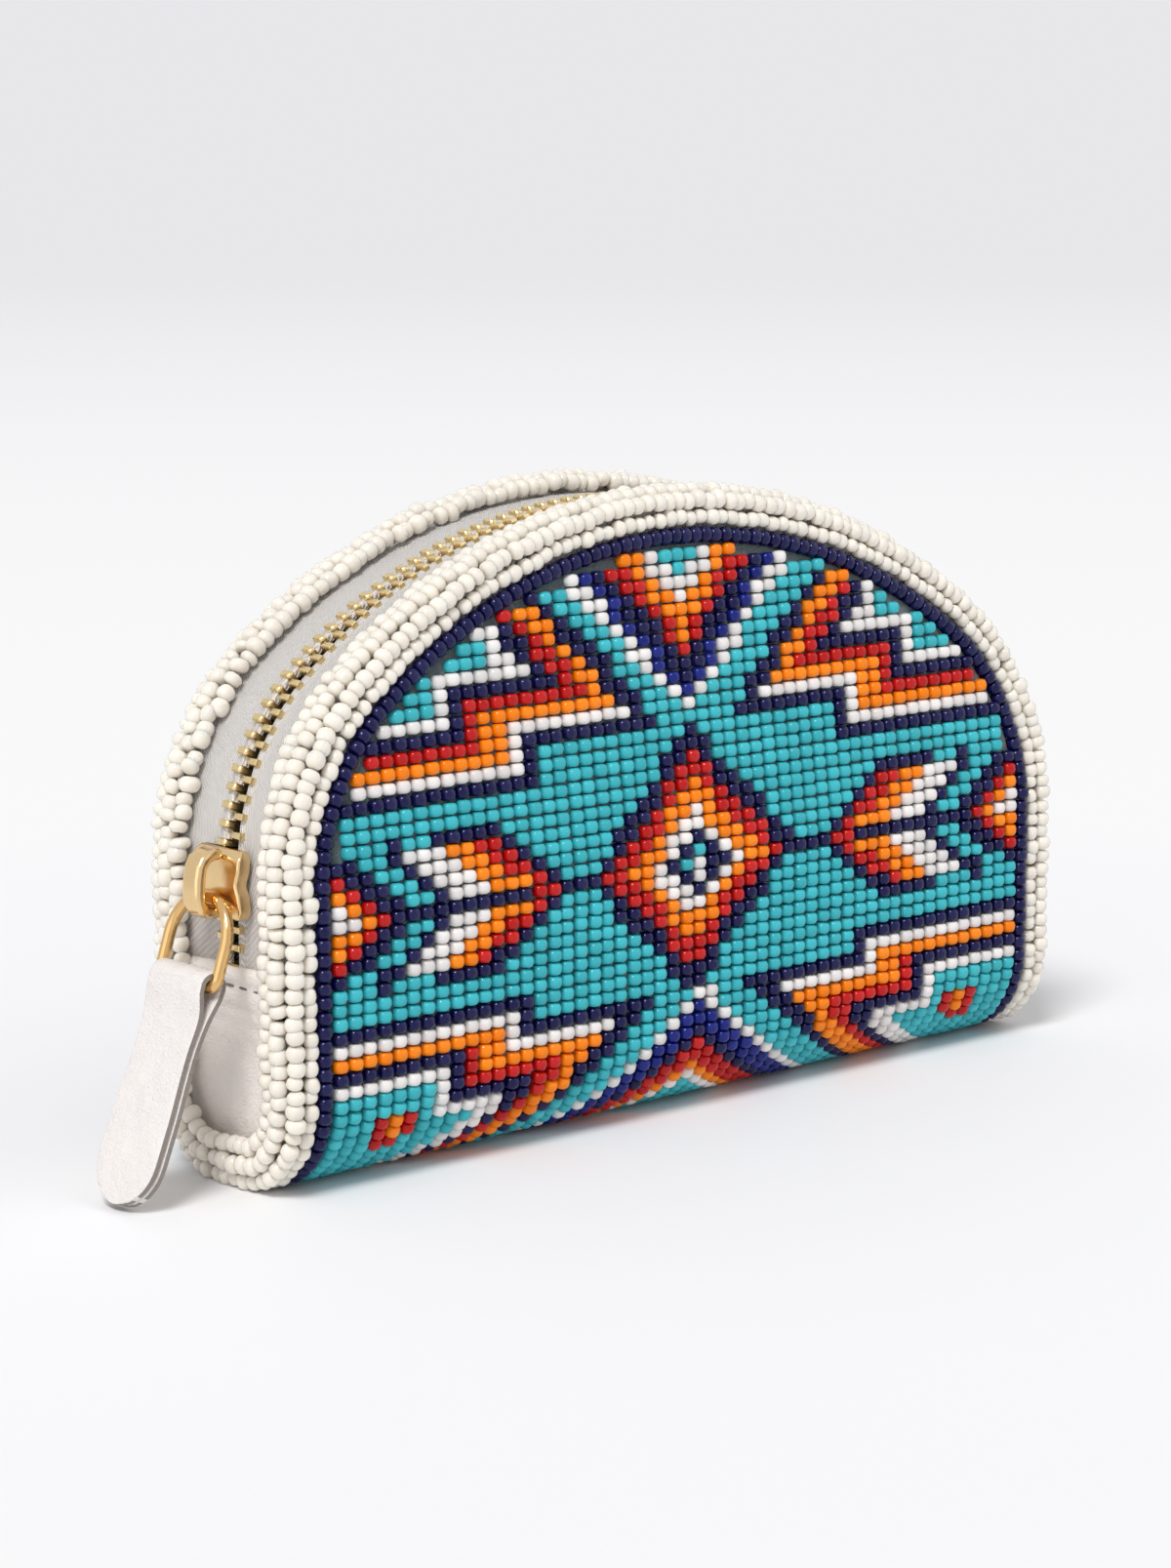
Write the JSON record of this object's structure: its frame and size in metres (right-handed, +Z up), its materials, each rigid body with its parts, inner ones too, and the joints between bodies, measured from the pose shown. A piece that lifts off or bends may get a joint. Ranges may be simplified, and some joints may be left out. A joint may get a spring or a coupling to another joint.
{
  "type": "beaded coin purse",
  "caption": "Half-moon coin purse of strung glass seed beads with a zip over its arch, leather ends and a leather pull tab.",
  "frame": {"origin": "middle of the flat underside", "axes": "+Z up, -Y towards the front face, -X towards the end where the closed zip's slider sits"},
  "size_m": [0.1409, 0.0322, 0.0768],
  "materials": {
    "turquoise_bead": "glossy opaque seed bead",
    "navy_bead": "glossy opaque seed bead, dark",
    "orange_bead": "glossy opaque seed bead",
    "red_bead": "glossy opaque seed bead",
    "white_bead": "glossy opaque seed bead",
    "pearl_bead": "pearly off-white seed bead",
    "felt": "grey-green felt",
    "lining_cloth": "plain woven cloth",
    "zip_tape": "fine twill tape",
    "leather": "fine grained, off-white",
    "brass": "satin pale gold plating"
  },
  "bodies": {
    "purse": {"arrow_left_navy": "navy_bead", "arrow_left_orange": "orange_bead", "arrow_left_red": "red_bead", "arrow_left_white": "white_bead", "arrow_right_navy": "navy_bead", "arrow_right_orange": "orange_bead", "arrow_right_red": "red_bead", "arrow_right_white": "white_bead", "backing_panel": "felt", "band_low_left_navy": "navy_bead", "band_low_left_orange": "orange_bead", "band_low_left_red": "red_bead", "band_low_left_white": "white_bead", "band_low_right_navy": "navy_bead", "band_low_right_orange": "orange_bead", "band_low_right_red": "red_bead", "band_low_right_white": "white_bead", "band_top_left_navy": "navy_bead", "band_top_left_orange": "orange_bead", "band_top_left_red": "red_bead", "band_top_left_white": "white_bead", "band_top_right_navy": "navy_bead", "band_top_right_orange": "orange_bead", "band_top_right_red": "red_bead", "band_top_right_white": "white_bead", "bead_ground": "turquoise_bead", "diamond_1_navy": "navy_bead", "diamond_2_red": "red_bead", "diamond_3_orange": "orange_bead", "diamond_4_white": "white_bead", "diamond_5_navy": "navy_bead", "edge_left_orange": "orange_bead", "edge_left_red": "red_bead", "edge_right_orange": "orange_bead", "edge_right_red": "red_bead", "gusset_left": "leather", "gusset_right": "leather", "lining": "lining_cloth", "navy_string": "navy_bead", "pearl_string_1": "pearl_bead", "pearl_string_2": "pearl_bead", "pearl_string_3": "pearl_bead", "pearl_string_4": "pearl_bead", "vee_low_navy": "navy_bead", "vee_low_red": "red_bead", "vee_low_white": "white_bead", "vee_top_navy": "navy_bead", "vee_top_orange": "orange_bead", "vee_top_red": "red_bead", "vee_top_white": "white_bead", "zip_stop_left": "brass", "zip_stop_right": "brass", "zip_tape_back": "zip_tape", "zip_tape_front": "zip_tape", "zip_teeth_back": "brass", "zip_teeth_front": "brass"},
    "slider": {"slider_body": "brass", "slider_bridge": "brass"},
    "ring": {"pull_ring": "brass"},
    "tab": {"pull_tab": "leather"}
  },
  "joints": [
    {"name": "slider_travel", "type": "hinge", "parent": "purse", "child": "slider", "pos_m": [-0.0301, 0, 0.0329], "axis": [0, 0.9929, -0.1191], "range_deg": [0, 35]},
    {"name": "ring_swing", "type": "hinge", "parent": "slider", "child": "ring", "pos_m": [-0.06472, 0.00018, 0.03442], "axis": [0, 1, 0], "range_deg": [-8, 120]},
    {"name": "tab_swing", "type": "hinge", "parent": "ring", "child": "tab", "pos_m": [-0.06787, 0.00018, 0.02483], "axis": [0, 1, 0], "range_deg": [-9, 75]}
  ]
}
